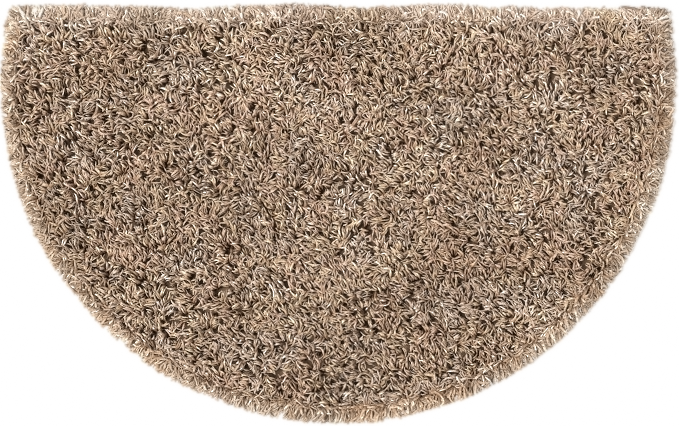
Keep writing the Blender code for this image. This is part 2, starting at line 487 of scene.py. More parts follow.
# %% Shared finish
SOCKET_KINDS = {float: "Float", int: "Int", tuple: "Vector"}
FIBRE = {"Patch Scale": 60.0, "Patchiness": 0.5, "Fuzz Scale": 1500.0}
FIBRE_DETAIL = 2.0
FUZZ_SHADE = 0.5


class Group(NodeTree):
    """A node group. Each input has a name and a first value, or the name of its kind instead."""

    def __init__(self, name, kind, inputs, outputs):
        super().__init__(bpy.data.node_groups.new(name, kind))
        for label, value in inputs.items():
            socket = self.new_socket(label, "INPUT", SOCKET_KINDS.get(type(value), value))
            if not isinstance(value, str):
                socket.default_value = value
        for label, socket_kind in outputs.items():
            self.new_socket(label, "OUTPUT", socket_kind)
        entry = self.add("NodeGroupInput")
        self.given = {label: Field(self, entry.outputs[label]) for label in inputs}

    def new_socket(self, label, way, kind):
        return self.tree.interface.new_socket(label, in_out=way, socket_type="NodeSocket" + kind)

    def close(self, results):
        """Feed the group's outputs, and return its tree."""
        self.feed(self.add("NodeGroupOutput"), results)
        return self.tree


def fibre_mottle():
    """Patches and fuzz on object coordinates."""
    group = Group("fibre mottle", "ShaderNodeTree", FIBRE, {"Shade": "Float", "Fuzz": "Float"})
    place = group.put("ShaderNodeTexCoord", output="Object")
    patch, fuzz = (
        group.put("ShaderNodeTexNoise", inputs={
            "Vector": place, "Scale": group.given[scale], "Detail": FIBRE_DETAIL})
        for scale in ("Patch Scale", "Fuzz Scale"))
    shade = (patch - 0.5) * group.given["Patchiness"] + (fuzz - 0.5) * FUZZ_SHADE + 1.0
    return group.close({"Shade": shade, "Fuzz": fuzz})


MOTTLE = fibre_mottle()
print("group:", MOTTLE.name)

# %% [markdown]
# A number that each yarn gets picks its shade between cream and brown from a ramp. A second one
# picks its dye lot, since one cone of yarn is a little more orange, pink, yellow or grey than the
# next. Down in the pile the yarn is darker and browner, because the light that gets there has
# already met other yarns. Its two plies wind round each other, which shows as slanting ridges.

# %% Yarn finish
YARN_TONES = (  # place on the ramp, linear colour
    (0.00, (0.170, 0.108, 0.066)),
    (0.22, (0.330, 0.232, 0.157)),
    (0.50, (0.508, 0.392, 0.303)),
    (0.78, (0.672, 0.560, 0.460)),
    (1.00, (0.872, 0.785, 0.688)),
)
DYE_LOTS = (  # place on the ramp, what the dye does to the colour
    (0.00, (1.008, 0.938, 0.838)),
    (0.20, (1.005, 0.936, 0.945)),
    (0.40, (0.995, 0.966, 0.846)),
    (0.60, (0.966, 0.960, 1.000)),
    (0.80, (0.963, 0.988, 0.990)),
    (1.00, (1.000, 0.880, 0.730)),
)
DEPTH_SHADES = (  # place along the yarn from its root, what the depth does to the colour
    (0.00, (0.340, 0.153, 0.0612)),
    (0.40, (0.600, 0.455, 0.335)),
    (0.80, (1.000, 1.000, 1.000)),
)
YARN_MOTTLE = {"Patch Scale": 330.0, "Patchiness": 1.8}
YARN_ROUGHNESS = 0.75
YARN_GLOSS = 0.35
PLY_TURNS = 9.0
PLY_DEPTH = 0.0003
PLY_SHARE = 0.5  # of the ridges in the bump, next to the fuzz


def new_finish(name):
    """A material, its tree and its shader."""
    material = bpy.data.materials.new(name)
    material.use_nodes = True
    return material, NodeTree(material.node_tree), material.node_tree.nodes["Principled BSDF"]


def ramp(tree, value, stops):
    """A colour ramp with a stop for each row of a table."""
    node = tree.add("ShaderNodeValToRGB", inputs={"Fac": value})
    elements = node.color_ramp.elements
    while len(elements) < len(stops):
        elements.new(0.5)
    for element, (place, colour) in zip(elements, stops):
        element.position = place
        element.color = (*colour, 1.0)
    return Field(tree, node.outputs["Color"])


def product(tree, colour, *others):
    """A colour multiplied by other colours or by grey values."""
    for other in others:
        colour = tree.put("ShaderNodeMix", {"data_type": "RGBA", "blend_type": "MULTIPLY"}, {
            "Factor": 1.0, "A": colour, "B": other}, "Result")
    return colour


def yarn_finish():
    """Matt two-ply yarn in shades of taupe."""
    material, tree, shader = new_finish("pile yarn")
    tone, lit, tint, along = (
        tree.put("ShaderNodeAttribute", {"attribute_name": name}, output="Fac")
        for name in ("tone", "lit", "tint", "along"))
    mottle = tree.add("ShaderNodeGroup", {"node_tree": MOTTLE}, YARN_MOTTLE)
    shade, fuzz = (Field(tree, mottle.outputs[name]) for name in ("Shade", "Fuzz"))
    ramps = (tone, YARN_TONES), (lit, DEPTH_SHADES), (tint, DYE_LOTS)
    dyed = product(tree, *(ramp(tree, value, table) for value, table in ramps))
    ply = tree.put("ShaderNodeAttribute", {"attribute_name": "ply"}, output="Vector")
    ply_x, ply_y = tree.axes(ply, "XY")
    wound = along * (PLY_TURNS * math.tau)
    ridge = ply_x * wound.combine("SINE") + ply_y * wound.combine("COSINE")
    normal = tree.put("ShaderNodeBump", inputs={
        "Distance": PLY_DEPTH, "Height": ridge * PLY_SHARE + fuzz}, output="Normal")
    tree.feed(shader, {
        "Base Color": product(tree, dyed, shade), "Roughness": YARN_ROUGHNESS,
        "Specular IOR Level": YARN_GLOSS, "Normal": normal})
    return material


YARN = yarn_finish()
print("finish:", YARN.name)

# %% [markdown]
# The backing is a plain weave of coarse cream thread. From below the threads show, over and
# under each other, with painted shade where a thread dips under another. The upper side is
# painted shade: it is made as dark as the roots of the yarns, so the finish changes with the
# height in the cloth.

# %% Backing finish
THREADS_PER_METRE = 700.0
THREAD_DEPTH = 0.0003
# painted shade: a thread is darker where it dips under another
CANVAS = (  # from under another thread to over it, linear colour
    (0.0, (0.42, 0.33, 0.23)),
    (1.0, (0.62, 0.52, 0.39)),
)
# painted shade on the cloth's upper side, as dark as the shaded roots of the pile
PAINTED_TOP_SHADE = (0.160, 0.090, 0.045)
CANVAS_ROUGHNESS = 0.9


def backing_finish():
    """Woven canvas below, painted shade above."""
    material, tree, shader = new_finish("backing cloth")
    x, y, z = tree.axes(tree.put("ShaderNodeTexCoord", output="Object"))
    warp, weft = ((way * (THREADS_PER_METRE * math.tau)).combine("SINE") for way in (x, y))
    over = (warp * weft) * 0.5 + 0.5
    shade = tree.put("ShaderNodeGroup", {"node_tree": MOTTLE}, output="Shade")
    upper = (z - BACKING_THICKNESS * 0.5).combine("GREATER_THAN", 0.0)
    colour = tree.put("ShaderNodeMix", {"data_type": "RGBA"}, {
        "Factor": upper, "A": product(tree, ramp(tree, over, CANVAS), shade),
        "B": (*PAINTED_TOP_SHADE, 1.0)}, "Result")
    bump = {"Distance": THREAD_DEPTH, "Height": over}
    normal = tree.put("ShaderNodeBump", None, bump, "Normal")
    tree.feed(shader, {"Base Color": colour, "Roughness": CANVAS_ROUGHNESS, "Normal": normal})
    return material


backing.data.materials.append(backing_finish())
print("finish:", backing.data.materials[0].name)

# %% [markdown]
# The next cells build the tufting machine, one geometry tree. It scatters stitches over the bed
# and sets a row of them along its rim, puts several yarns side by side in each, and lets every
# yarn stand up, bend and fall over. Every size below is an input of the tree. Lengths are in
# metres, turns in radians, and tones in steps of the yarn's ramp.

# %% Sizes of the pile
TUFT_SIZES = {
    # How many, and how close
    "Stitch Spacing": 0.0055, "Stitch Width": 0.0050, "Rim Pitch": 0.0045, "Yarns Per Stitch": 5,
    "Extra At Rim": 5.0, "Extra At Corner": 12.0,
    # Which part of the rug
    "From X": -1.0, "To X": 1.0,
    # Which stitches belong to the rim, and which yarns stand there instead of lying low
    "Back Band": 0.022, "Round Band": 0.010, "Round Comb": 0.36, "Low Share": 0.50,
    "Low Back Share": 0.60, "High Lift": 0.8,
    # Which way the yarns fall
    "Swirl Scale": 50.0, "Whim": 0.9, "Lay": (-0.92, 0.71, 0.0), "Rim Calm": 0.6, "Rim Pull": 1.1,
    "Fan": 0.30, "Rim Fan": 0.30, "Corner Fan": 0.55, "Even Share": 0.6, "Wander": 0.52,
    "Rim Wander": 0.30, "High Wander": 1.8,
    # How far they reach
    "Reach": 0.0105, "Reach Spread": 0.0056, "Matted Reach": 1.12, "Crisp Reach": 0.24,
    "Rim Reach": 0.019, "Corner Reach": 0.012, "Least Outward": 0.3, "Ragged": 0.035,
    "Deep Ragged": 0.40, "High Ragged": 0.30, "Tip Room": 0.65, "Corner Room": 1.3,
    "Overhang": 0.6,
    # How high they rise, how they bend and how thick they are
    "Pile Rise": 0.0215, "Rise Spread": 0.0095, "Matted Rise": 0.7, "Crisp Rise": 0.6,
    "Rim Rise": 0.0130, "Rim Rise Spread": 0.0050, "Lump Scale": 60.0, "Lump Rise": 0.0072,
    "Crest": 0.72, "Rim Crest": 0.55, "Curl": 1.6, "Rim Curl": 0.15, "Crimp": 0.0005,
    "Crimp Rise": 1.5, "Yarn Radius": 0.00137, "Lowest": 1.2, "Matted Thickness": 1.06,
    "Crisp Thickness": 0.12, "Rim Thickness": 0.20, "Corner Thickness": 0.12,
    # How light they are, with painted light and shade for the front, the sides and the rim
    "Tuft Tone": 0.56, "Tuft Spread": 0.16, "Drift Scale": 8.0, "Drift": 0.70,
    "Front Shade": 0.28, "Side Shade": 0.40, "Crisp Scale": 24.0, "Crisp Contrast": 3.5,
    "Crisp Light": 0.08, "Matted Spread": 0.4, "Crisp Spread": 1.3, "High Round Spread": 0.9,
    "High Back Spread": 0.2, "Corner Spread": 0.4, "Back Shade": 0.26, "Back End Light": 1.9,
    "Corner Shade": 0.10, "Round Shade": 0.165, "Left Shade": 0.05, "Sideways Shade": 0.06,
    "Tip Light": 0.35, "Back Lit": 0.34, "Fleck": 0.20,
    # Which dye lot they show, and the round rim's browner tint, which is painted shade
    "Dye Scale": 18.0, "Dye Contrast": 2.4, "Dye Spread": 0.24, "Dye Middle": 0.4,
    "Back Dye": 0.8, "Back Dye Share": 0.5, "Round Shade Tint": 1.0, "Round Shade Tint Share": 0.7, "Seed": 7,
    "Finish": "Material",
}
print("sizes of the pile:", len(TUFT_SIZES))

# %% [markdown]
# Three kinds of step come back all the time. A chance is a random number, drawn apart from the
# others and the same in every run. A pattern is a noise that runs on from stitch to stitch. A note
# is a value written down on the points under a name, for a later step to read.

# %% Chances, patterns and notes
DRAWS = (  # each has its own seed, by its place here
    "angle", "reach", "ragged", "rise", "rim rise", "crest", "rim crest", "curl", "tone",
    "thickness", "tuft tone", "whim", "dye", "standing", "crimp X", "crimp Y", "crimp Z",
    "place", "fan", "fleck",
)
PATTERNS = {  # where in the noise a pattern is taken from, and its detail
    "Swirl": ((0.0, 0.0, 0.0), 2.0),
    "Lump": ((3.1, 1.7, 0.0), 1.0),
    "Drift": ((7.3, 0.9, 0.0), 4.0),
    "Dye": ((1.9, 5.3, 0.0), 3.0),
    "Crisp": ((4.7, 2.9, 0.0), 3.0),
}
NOTE_KINDS = {  # all other notes are plain numbers
    **dict.fromkeys(("outward", "round_way", "tuft_lean", "lean", "root"), "FLOAT_VECTOR"),
    **dict.fromkeys(("number", "yarn"), "INT"),
}
UP = (0.0, 0.0, 1.0)


class Tufting(Group):
    """The pile's geometry tree."""

    def __init__(self):
        super().__init__(
            "tufting", "GeometryNodeTree", {"Bed": "Geometry", **TUFT_SIZES}, {"Pile": "Geometry"})

    def geo(self, kind, inputs=None, output=0, **settings):
        """One geometry node."""
        return self.put("GeometryNode" + kind, settings, inputs, output)

    def chance(self, name, low, high, ident=None):
        """A random number for each element, or for each ident."""
        inputs = {"Min": low, "Max": high, "Seed": self.given["Seed"] + (DRAWS.index(name) + 1.0)}
        if ident is not None:
            inputs["ID"] = ident
        return self.put("FunctionNodeRandomValue", {"data_type": "FLOAT"}, inputs, "Value")

    def pattern(self, name, output=0):
        """A noise over the rug."""
        shift, detail = PATTERNS[name]
        place = self.vector("ADD", self.geo("InputPosition"), shift)
        return self.put("ShaderNodeTexNoise", inputs={
            "Vector": place, "Scale": self.given[name + " Scale"], "Detail": detail}, output=output)

    def keep(self, geometry, **notes):
        """Write fields down on the geometry's points, each under its name."""
        for name, value in notes.items():
            row = {"Geometry": geometry, "Name": name, "Value": value}
            kind = NOTE_KINDS.get(name, "FLOAT")
            geometry = self.geo("StoreNamedAttribute", row, data_type=kind, domain="POINT")
        return geometry

    def note(self, name):
        """Read a note."""
        kind = NOTE_KINDS.get(name, "FLOAT")
        return self.geo("InputNamedAttribute", {"Name": name}, "Attribute", data_type=kind)

    def notes(self, *names):
        return [self.note(name) for name in names]

    def arrow(self, x, y, z):
        """A way from its parts."""
        return self.put("ShaderNodeCombineXYZ", inputs={"X": x, "Y": y, "Z": z})

    def moved(self, start, *moves):
        """A place moved along ways, each with how far."""
        for way, far in moves:
            start = self.vector("ADD", start, self.vector("SCALE", way, far))
        return start

    def smooth_step(self, value, low, high):
        """0 at low, 1 at high, and smooth between them."""
        return self.put("ShaderNodeMapRange", {"interpolation_type": "SMOOTHSTEP"}, {
            "Value": value, "From Min": low, "From Max": high, "To Min": 0.0, "To Max": 1.0})


def blend(share, first, second):
    """From first at 0 to second at 1."""
    return first + (second - first) * share


print("chances:", len(DRAWS), "patterns:", len(PATTERNS))

# %% [markdown]
# Which way a yarn falls is a sum. A noise that turns across the rug makes the swirls and partings
# of a real pile. Each stitch has a whim of its own. The whole pile has a lay, from being rolled
# up. Near the rim the way out wins. A corner has more ground to cover from one stitch, so it gets
# more yarns.
#
# Two notes say where a stitch is: rim is 1 at the outline and 0 further in, and at_round is the
# part of it that belongs to the round side alone. What is left of rim is the back's.

# %% Stitches
STITCH_LIMIT = 60000.0  # per square metre, far more than the spacing lets through
FAN_SPREAD = (-1.0, 2.2)
LEVEL = (1.0, 1.0, 0.0)


def lay_stitches(tree):
    """Stitches scattered over the bed, and a row of them along its rim."""
    size = tree.given
    scatter = tree.geo("DistributePointsOnFaces", {
        "Mesh": size["Bed"], "Distance Min": size["Stitch Spacing"],
        "Density Max": STITCH_LIMIT, "Seed": size["Seed"]}, "Points", distribute_method="POISSON")
    one_face = tree.geo("InputMeshEdgeNeighbors").combine("LESS_THAN", 2.0)
    edge = tree.geo("MeshToCurve", {"Mesh": size["Bed"], "Selection": one_face})
    row = tree.geo(
        "CurveToPoints", {"Curve": edge, "Length": size["Rim Pitch"]}, "Points", mode="LENGTH")
    joined = tree.add("GeometryNodeJoinGeometry")
    for points in (tree.keep(row, row=1.0), scatter):
        tree.feed(joined, {0: points})
    return Field(tree, joined.outputs[0])


def note_lean(tree, stitches):
    """Note where each stitch is, how many yarns it gets more, and which way they fall."""
    size = tree.given
    row, back_gap, round_gap, outward = tree.notes("row", "back_gap", "round_gap", "outward")
    by_back, by_round = (
        1.0 - tree.smooth_step(gap, BACKING_INSET, size[band] + BACKING_INSET)
        for gap, band in ((back_gap, "Back Band"), (round_gap, "Round Band")))
    by_round = by_round * blend(row, size["Round Comb"], 1.0)
    rim = by_back.combine("MAXIMUM", by_round)
    corner = by_round * by_back
    rim_extra = (by_round - corner) * size["Extra At Rim"] + (by_back - corner) * size["Extra At Rim"]
    swirl = tree.vector("SUBTRACT", tree.pattern("Swirl", "Color"), (0.5, 0.5, 0.5))
    swirl = tree.vector("NORMALIZE", tree.vector("MULTIPLY", swirl, LEVEL))
    turn = tree.chance("whim", 0.0, math.tau)
    whim = tree.arrow(turn.combine("COSINE"), turn.combine("SINE"), 0.0)
    swirl = tree.vector("ADD", tree.moved(swirl, (whim, size["Whim"])), size["Lay"])
    swirl = tree.vector("NORMALIZE", swirl)
    swirl = tree.vector("SCALE", swirl, 1.0 - rim * size["Rim Calm"])
    lean = tree.moved(swirl, (outward, rim * size["Rim Pull"]))
    return tree.keep(
        stitches,
        rim=rim,
        at_round=by_round * (1.0 - by_back),
        corner=corner,
        extra=(corner * size["Extra At Corner"] + rim_extra * row).combine("ROUND"),
        tuft_lean=tree.vector("NORMALIZE", lean),
        fan=tree.chance("fan", *FAN_SPREAD) * size["Fan"],
        lump=(tree.pattern("Lump") - 0.5) * size["Lump Rise"],
    )


print("stitches of", TUFT_SIZES["Yarns Per Stitch"], "yarns or more")

# %% [markdown]
# Tufts differ in kind as well. In crisp patches the yarns are short, fine and of mixed tones; in
# matted ones they are longer, thicker and more alike. Large areas drift a little lighter or
# darker. Light and shade are painted into the tone as well: painted shade makes the front and
# the sides a little darker than the rest, and painted light makes the back lighter, as in the
# photograph. Each piece keeps only its own part of the stitches, and numbers them before it does.

# %% Kinds of tuft
DYE_RANGE = (0.0, 0.8)


def note_tuft(tree, stitches):
    """Note how light each stitch is, which dye lot it comes from, and how crisp it is."""
    size = tree.given
    x, y = tree.axes(tree.geo("InputPosition"), "XY")
    tone = tree.chance("tuft tone", -0.5, 0.5) * size["Tuft Spread"]
    tone = tone + (tree.pattern("Drift") - 0.5) * size["Drift"] + size["Tuft Tone"]
    # painted light and shade: lighter towards the back, darker towards the front and the sides
    tone = tone + y * size["Front Shade"] - x * x * size["Side Shade"]
    dye = tree.chance("dye", -0.5, 0.5) * size["Dye Spread"]
    dye = dye + (tree.pattern("Dye") - 0.5) * size["Dye Contrast"] + size["Dye Middle"]
    crisp = (tree.pattern("Crisp") - 0.5) * size["Crisp Contrast"] + 0.5
    tint = dye.between(*DYE_RANGE)
    return tree.keep(stitches, tuft_tone=tone, tint=tint, crisp=crisp.between(0.0, 1.0))


def keep_part(tree, stitches):
    """Number the stitches, and keep those that lie in this piece's part of the rug."""
    size = tree.given
    x, = tree.axes(tree.geo("InputPosition"), "X")
    outside = x.combine("LESS_THAN", size["From X"]).combine(
        "MAXIMUM", 1.0 - x.combine("LESS_THAN", size["To X"]))
    stitches = tree.keep(stitches, number=tree.geo("InputIndex"))
    cut = {"Geometry": stitches, "Selection": outside}
    return tree.geo("DeleteGeometry", cut, domain="POINT")


print("a tuft notes its tone, its dye lot and how crisp it is")

# %% [markdown]
# The yarns of a stitch stand side by side and fan out, and each wanders a little from its stitch.
# At the rim some yarns lie low and reach the outline, and the others stand as high as in the
# middle, so that the rim looks full and not combed. How far a yarn may reach is worked out from
# how far off the rims are along its own way. Away from the rim a yarn's root is drawn back, so
# that the yarn arches over its stitch.

# %% Yarns in a stitch
NUMBERS_PER_STITCH = 32.0
NUMBERS_PER_YARN = 8.0
SECOND_ROW = (BACKING_INSET * 1.22, BACKING_INSET * 1.5)  # how far in the rim's next stitches are
RAGGED_POWER = 1.8


def set_yarns(tree, stitches):
    """Several yarns for each stitch. Returns them, and each one's place in it from -1 to 1."""
    count = tree.given["Yarns Per Stitch"] + tree.note("extra")
    copies = tree.add("GeometryNodeDuplicateElements", {"domain": "POINT"}, {
        "Geometry": stitches, "Amount": count})
    yarns, turn = (Field(tree, copies.outputs[name]) for name in ("Geometry", "Duplicate Index"))
    middle = (count - 1.0) * 0.5
    yarns = tree.keep(yarns, yarn=tree.note("number") * NUMBERS_PER_STITCH + turn)
    return yarns, (turn - middle) / middle


def note_way(tree, yarns, even):
    """Note which yarns stand high or lie low at the rim, and where each is rooted and falls."""
    size = tree.given
    ident, rim, at_round, corner, lean = tree.notes("yarn", "rim", "at_round", "corner", "tuft_lean")
    standing = tree.chance("standing", 0.0, 1.0, ident)
    high = at_round * standing.combine("GREATER_THAN", size["Low Share"])
    high = high + (rim - at_round - corner) * standing.combine("GREATER_THAN", size["Low Back Share"])
    own = even * size["Even Share"] + tree.chance("place", -0.5, 0.5, ident)
    across = blend(rim, own, even)
    fan = blend(rim, tree.note("fan"), size["Rim Fan"]) + corner * size["Corner Fan"]
    wander = size["Wander"] * (1.0 + rim * size["Rim Wander"] + high * size["High Wander"])
    angle = across * fan + tree.chance("angle", -1.0, 1.0, ident) * wander
    side = tree.vector("CROSS_PRODUCT", UP, lean)
    own_lean = tree.vector("SCALE", lean, angle.combine("COSINE"))
    own_lean = tree.moved(own_lean, (side, angle.combine("SINE")))
    root = tree.moved(tree.geo("InputPosition"), (side, across * size["Stitch Width"]))
    low = rim * (1.0 - high * size["High Lift"])
    return tree.keep(yarns, high=high, low=low, lean=own_lean, root=root)


def note_reach(tree, yarns):
    """Note how far each yarn reaches, and draw its root back."""
    size = tree.given
    ident, corner, crisp, high, low = tree.notes("yarn", "corner", "crisp", "high", "low")
    back_gap, round_gap, way_round, lean = tree.notes("back_gap", "round_gap", "round_way", "lean")
    reach = size["Reach"] + tree.chance("reach", -1.0, 1.0, ident) * size["Reach Spread"]
    reach = reach * (size["Matted Reach"] - crisp * size["Crisp Reach"])
    over_back, over_round = (
        tree.vector("DOT_PRODUCT", lean, way).combine("MAXIMUM", size["Least Outward"])
        for way in ((0.0, 1.0, 0.0), way_round))
    limit = (back_gap / over_back).combine("MINIMUM", round_gap / over_round)
    deep = tree.smooth_step(back_gap.combine("MINIMUM", round_gap), *SECOND_ROW) * (1.0 - corner)
    ragged = size["Ragged"] + deep * size["Deep Ragged"] + high * size["High Ragged"]
    short = tree.chance("ragged", 0.0, 1.0, ident) ** RAGGED_POWER * ragged
    room = size["Yarn Radius"] * (size["Tip Room"] - corner * size["Corner Room"])
    limit = limit * (1.0 - short) - room
    rim_reach = limit.combine("MINIMUM", reach + size["Rim Reach"] + corner * size["Corner Reach"])
    own_reach = blend(low, reach.combine("MINIMUM", limit), rim_reach)
    back_up = own_reach * (1.0 - low) * (1.0 - high) * size["Overhang"]
    root = tree.vector("SUBTRACT", tree.note("root"), tree.vector("SCALE", lean, back_up))
    return tree.keep(yarns, root=root, reach=own_reach)


print("the rim's next stitches lie", SECOND_ROW, "m in")

# %% [markdown]
# What is left to note is how high a yarn rises, how far along it is highest, how it curls, how
# thick it is and which colour it has. Light and shade are painted into that colour at the rim.
# The back of the rug is a band of painted light, lightest at its two ends, and the round rim has
# painted shade, darker and browner, above all at the two sides.

# %% Shape and tone of a yarn
RISE_POWER = 1.6
CREST_SPREAD = (-0.12, 0.14)
RIM_CREST_SPREAD = (-0.04, 0.12)
STRAIGHTEST = 0.0003
THICKNESS_SPREAD = (0.56, 1.36)
TONE_SPREAD = 0.31


def note_shape(tree, yarns):
    """Note how high each yarn rises, how it bends and how thick it is."""
    size = tree.given
    ident, corner, crisp, low = tree.notes("yarn", "corner", "crisp", "low")
    drop = tree.chance("rise", 0.0, 1.0, ident) ** RISE_POWER * size["Rise Spread"]
    drop = drop * (size["Matted Rise"] + crisp * size["Crisp Rise"])
    rise = size["Pile Rise"] + tree.note("lump") - drop
    rim_rise = size["Rim Rise"] + tree.chance("rim rise", -1.0, 1.0, ident) * size["Rim Rise Spread"]
    crest = size["Crest"] + tree.chance("crest", *CREST_SPREAD, ident)
    rim_crest = size["Rim Crest"] + tree.chance("rim crest", *RIM_CREST_SPREAD, ident)
    curl = size["Curl"] * (1.0 + low * size["Rim Curl"])
    thickness = size["Matted Thickness"] - crisp * size["Crisp Thickness"]
    thickness = tree.chance("thickness", *THICKNESS_SPREAD, ident) * thickness
    return tree.keep(
        yarns,
        rise=blend(low, rise, rim_rise),
        crest=blend(low, crest, rim_crest),
        curl=tree.chance("curl", -1.0, 1.0, ident) * curl + STRAIGHTEST,
        thickness=thickness + low * size["Rim Thickness"] + corner * size["Corner Thickness"],
    )


def note_tone(tree, yarns):
    """Note how light each yarn is, and which dye lot it shows."""
    size = tree.given
    ident, rim, at_round, corner, crisp = tree.notes("yarn", "rim", "at_round", "corner", "crisp")
    x, = tree.axes(tree.geo("InputPosition"), "X")
    at_back = rim - at_round
    high_spread = at_round * size["High Round Spread"] + at_back * size["High Back Spread"]
    spread = size["Matted Spread"] + crisp * size["Crisp Spread"] + tree.note("high") * high_spread
    spread = spread - at_round * size["Matted Spread"] + corner * size["Corner Spread"]
    tone = tree.note("tuft_tone") + tree.chance("tone", -TONE_SPREAD, TONE_SPREAD, ident) * spread
    tone = tone + (crisp - 0.5) * size["Crisp Light"]
    # painted light and shade along the back: darker in its middle, lighter towards its two ends
    tone = tone + at_back * (x * x * size["Back End Light"] - size["Back Shade"])
    # painted shade: the round rim is darker, most at its left side
    to_left = tree.vector("DOT_PRODUCT", tree.note("outward"), (-1.0, 0.0, 0.0))
    left_shade = size["Left Shade"] + to_left * size["Sideways Shade"]
    round_shade = size["Round Shade"] + to_left * left_shade
    tone = tone - corner * size["Corner Shade"] - at_round * round_shade
    tint = blend(at_back * size["Back Dye Share"], tree.note("tint"), size["Back Dye"])
    # painted shade: the round rim's yarns also take the browner end of the tint ramp
    tint = blend(at_round * size["Round Shade Tint Share"], tint, size["Round Shade Tint"])
    return tree.keep(yarns, tone=tone, tint=tint)


print("a yarn is", THICKNESS_SPREAD, "times as thick as the plain one")

# %% [markdown]
# Each yarn is a short curve, an arc with a slight crimp and flecks of tone along it. Its thickness
# comes from sweeping a three-sided profile along it. From above three sides look as round as
# twelve, and with nearly thirty thousand yarns each side counts.

# %% Curves, and the whole tree
YARN_POINTS = 6
PROFILE_SIDES = 3
ALONG_POWER = 1.4  # above one, the points crowd towards the tip
CURL_POWER = 1.7
TIP_POWER = 4.0
TAPER, RIM_TAPER = 0.58, 0.15


def point_ident(tree):
    """A number for each point of each yarn."""
    share = tree.geo("SplineParameter")
    return (tree.note("yarn") * NUMBERS_PER_YARN + share * (YARN_POINTS - 1.0)).combine("ROUND")


def grow(tree, yarns):
    """A short straight curve for each yarn, with its tones noted along it."""
    size = tree.given
    line = tree.geo("CurvePrimitiveLine", {"Start": (0.0, 0.0, 0.0), "End": UP})
    line = tree.geo("ResampleCurve", {"Curve": line, "Count": YARN_POINTS})
    curves = tree.geo("InstanceOnPoints", {"Points": yarns, "Instance": line})
    curves = tree.geo("RealizeInstances", {"Geometry": curves})
    along, rim, at_round, corner = tree.notes("along", "rim", "at_round", "corner")
    share = tree.geo("SplineParameter")
    # painted highlight: the tips of the rim's yarns are lighter
    tip = (rim - corner) * along ** TIP_POWER * size["Tip Light"]
    fleck = tree.chance("fleck", -1.0, 1.0, point_ident(tree)) * size["Fleck"]
    return tree.keep(
        curves,
        along=1.0 - (1.0 - share) ** ALONG_POWER,
        # painted light: at the back the lower parts of the yarns are less dark
        lit=along + (rim - at_round) * (1.0 - along) * size["Back Lit"],
        tone=tree.note("tone") + tip + fleck,
    )


def bend(tree, curves):
    """Bend each curve as its notes say."""
    size = tree.given
    along, root, lean, reach = tree.notes("along", "root", "lean", "reach")
    rise, crest, curl, rim, at_round = tree.notes("rise", "crest", "curl", "rim", "at_round")
    fall = (crest - along) / crest
    height = rise * (1.0 - fall * fall) + BACKING_THICKNESS
    half_curl = curl * 0.5
    turned = curl * (along ** CURL_POWER - 0.5)
    radius = reach / (half_curl.combine("SINE") * 2.0)
    out = radius * (turned.combine("SINE") + half_curl.combine("SINE"))
    sway = radius * (half_curl.combine("COSINE") - turned.combine("COSINE"))
    side = tree.vector("CROSS_PRODUCT", UP, lean)
    spot = tree.moved(tree.vector("MULTIPLY", root, LEVEL), (lean, out), (side, sway))
    at_back = rim - at_round
    x, y, z = (
        tree.chance("crimp " + axis, -1.0, 1.0, point_ident(tree)) * size["Crimp"] * (1.0 + at_back)
        for axis in "XYZ")
    lowest = size["Yarn Radius"] * size["Lowest"]
    z = (height + z * size["Crimp Rise"]).combine("MAXIMUM", lowest)
    spot = tree.vector("ADD", spot, tree.arrow(x, y, z))
    return tree.geo("SetPosition", {"Geometry": curves, "Position": spot})


def sweep(tree, curves):
    """Thick yarns with their finish, from thin curves."""
    size = tree.given
    taper = 1.0 - tree.note("along") ** TIP_POWER * blend(tree.note("rim"), TAPER, RIM_TAPER)
    curves = tree.geo("SetCurveRadius", {
        "Curve": curves, "Radius": size["Yarn Radius"] * tree.note("thickness") * taper})
    profile = tree.geo("CurvePrimitiveCircle", {
        "Resolution": PROFILE_SIDES, "Radius": 1.0})
    pile = tree.geo("CurveToMesh", {
        "Curve": curves, "Profile Curve": profile,
        "Scale": tree.geo("InputRadius"), "Fill Caps": True})
    pile = tree.geo("SetShadeSmooth", {"Geometry": pile})
    pile = tree.geo("RealizeInstances", {"Geometry": pile})
    return tree.geo("SetMaterial", {"Geometry": pile, "Material": size["Finish"]})


def tufting_tree():
    """Bed in, finished yarns out."""
    tree = Tufting()
    stitches = lay_stitches(tree)
    for stage in (note_lean, note_tuft, keep_part):
        stitches = stage(tree, stitches)
    pile = note_way(tree, *set_yarns(tree, stitches))
    for stage in (note_reach, note_shape, note_tone, grow, bend, sweep):
        pile = stage(tree, pile)
    return tree.close({"Pile": pile})


TUFTING = tufting_tree()
print("tufting tree:", len(TUFTING.nodes), "nodes")

# %% [markdown]
# Every yarn gets a small field of its own on the piece's map, with its wall unrolled in the middle
# and its two cut ends above and below, so that no two faces share a place and the colours can be
# baked later. The swept mesh's points lie ring after ring, so a point's number says all of this.
# Each point also notes where it sits round its yarn, for the ridges of the two plies.

# %% Map of the yarns
MAP_NAME = "OFBake"
NOTES_FOR_THE_FINISH = ("tone", "tint", "lit", "along", "ply")
FIELD_LENGTHS = 2.5
STRIP_SIDE = 0.08
STRIP_END = 0.16
END_EDGE = 0.02
END_SIZE = 0.09
PLIES = 2


